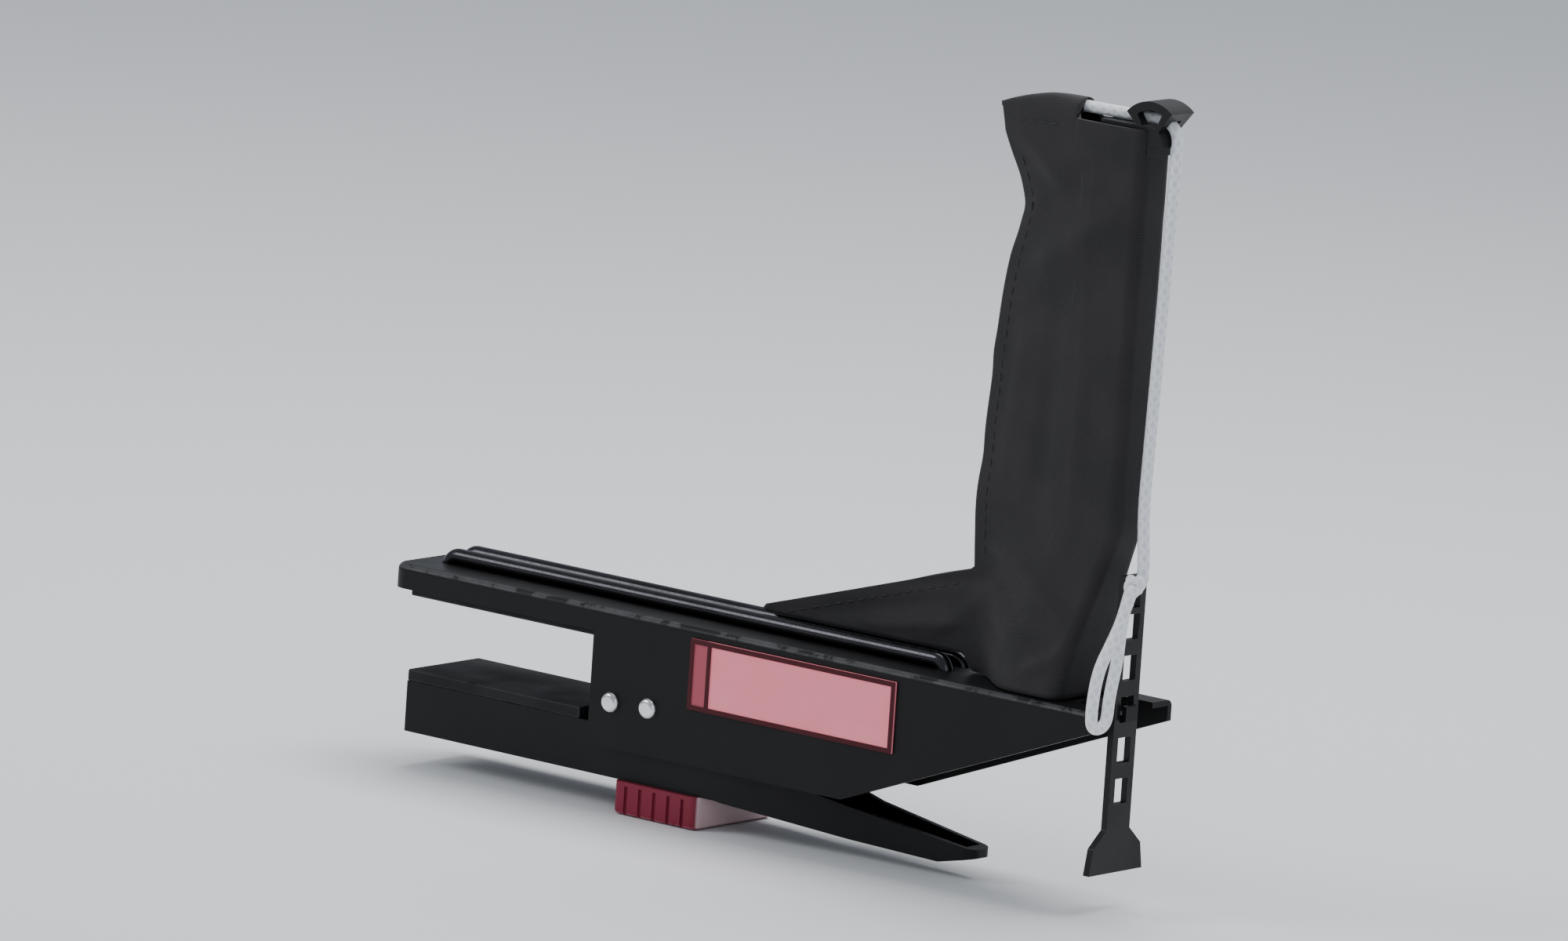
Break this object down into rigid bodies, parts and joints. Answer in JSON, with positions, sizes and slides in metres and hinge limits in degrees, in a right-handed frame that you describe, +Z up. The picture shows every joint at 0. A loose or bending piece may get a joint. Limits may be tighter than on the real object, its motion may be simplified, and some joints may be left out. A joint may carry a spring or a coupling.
{
  "type": "table tennis net clamp",
  "caption": "Sprung net clamp that grips a table's edge and carries a sleeved net post, with a tension cord hooked on a ladder strap",
  "frame": {"origin": "centre of the upper pad's seat face, on the playing surface", "axes": "+X outwards across the table's side edge, +Y along the table's length, +Z up from the playing surface"},
  "size_m": [0.2299, 0.0376, 0.2001],
  "materials": {
    "black_enamel": "satin powder coat",
    "rubber": "matte",
    "rivet_steel": "bright, lightly polished",
    "zinc_steel": "zinc plated",
    "spring_steel": "oiled",
    "red_plastic": "moulded, satin gloss",
    "polished_wire": "black chrome, polished",
    "badge_plastic": "printed, satin",
    "black_plastic": "fine moulded grain",
    "sleeve_cloth": "woven, matte",
    "white_cord": "braided, soft"
  },
  "bodies": {
    "arm": {"upper_arm": "black_enamel", "upper_pad": "rubber", "pivot_pin": "rivet_steel", "pivot_bush": "zinc_steel", "pivot_washers": "zinc_steel", "spring_pin": "rivet_steel", "spring_spacers": "zinc_steel", "torsion_spring": "spring_steel", "front_net_rail": "polished_wire", "rear_net_rail": "polished_wire", "front_badge": "badge_plastic", "rear_badge": "badge_plastic", "post_socket": "black_enamel", "socket_rivets": "zinc_steel"},
    "lever": {"lever": "black_enamel", "lower_pad": "rubber", "spring_cover": "red_plastic", "cover_screws": "zinc_steel"},
    "post": {"post": "black_enamel", "post_head": "black_plastic", "head_pin": "zinc_steel", "height_nut": "zinc_steel", "post_sleeve": "sleeve_cloth", "net_cord": "white_cord"},
    "screw": {"height_screw": "zinc_steel", "screw_clip": "spring_steel"},
    "strap": {"ladder_strap": "black_plastic", "cord_knot": "white_cord", "cord_tail": "white_cord"}
  },
  "joints": [
    {"name": "lever_pivot", "type": "hinge", "parent": "arm", "child": "lever", "pos_m": [0.039, 0, -0.0155], "axis": [0, -1, 0], "range_deg": [-15.5, 10], "stiffness_Nm_per_rad": 5, "deforming": ["torsion_spring"]},
    {"name": "post_height", "type": "slide", "parent": "arm", "child": "post", "axis": [0, 0, 1], "range_m": [-0.003, 0.003], "deforming": ["post_sleeve", "net_cord"]},
    {"name": "screw_turn", "type": "hinge", "parent": "arm", "child": "screw", "pos_m": [0.1657, 0, 0], "axis": [0, 0, 1], "range_deg": [-1350, 1350]},
    {"name": "strap_unhook", "type": "hinge", "parent": "arm", "child": "strap", "pos_m": [0.1875, 0, 0.0353], "axis": [0, -1, 0], "range_deg": [0, 35]}
  ],
  "couplings": [
    {"joint": "screw_turn", "follows": "post_height", "rad_per_m": 7854}
  ]
}
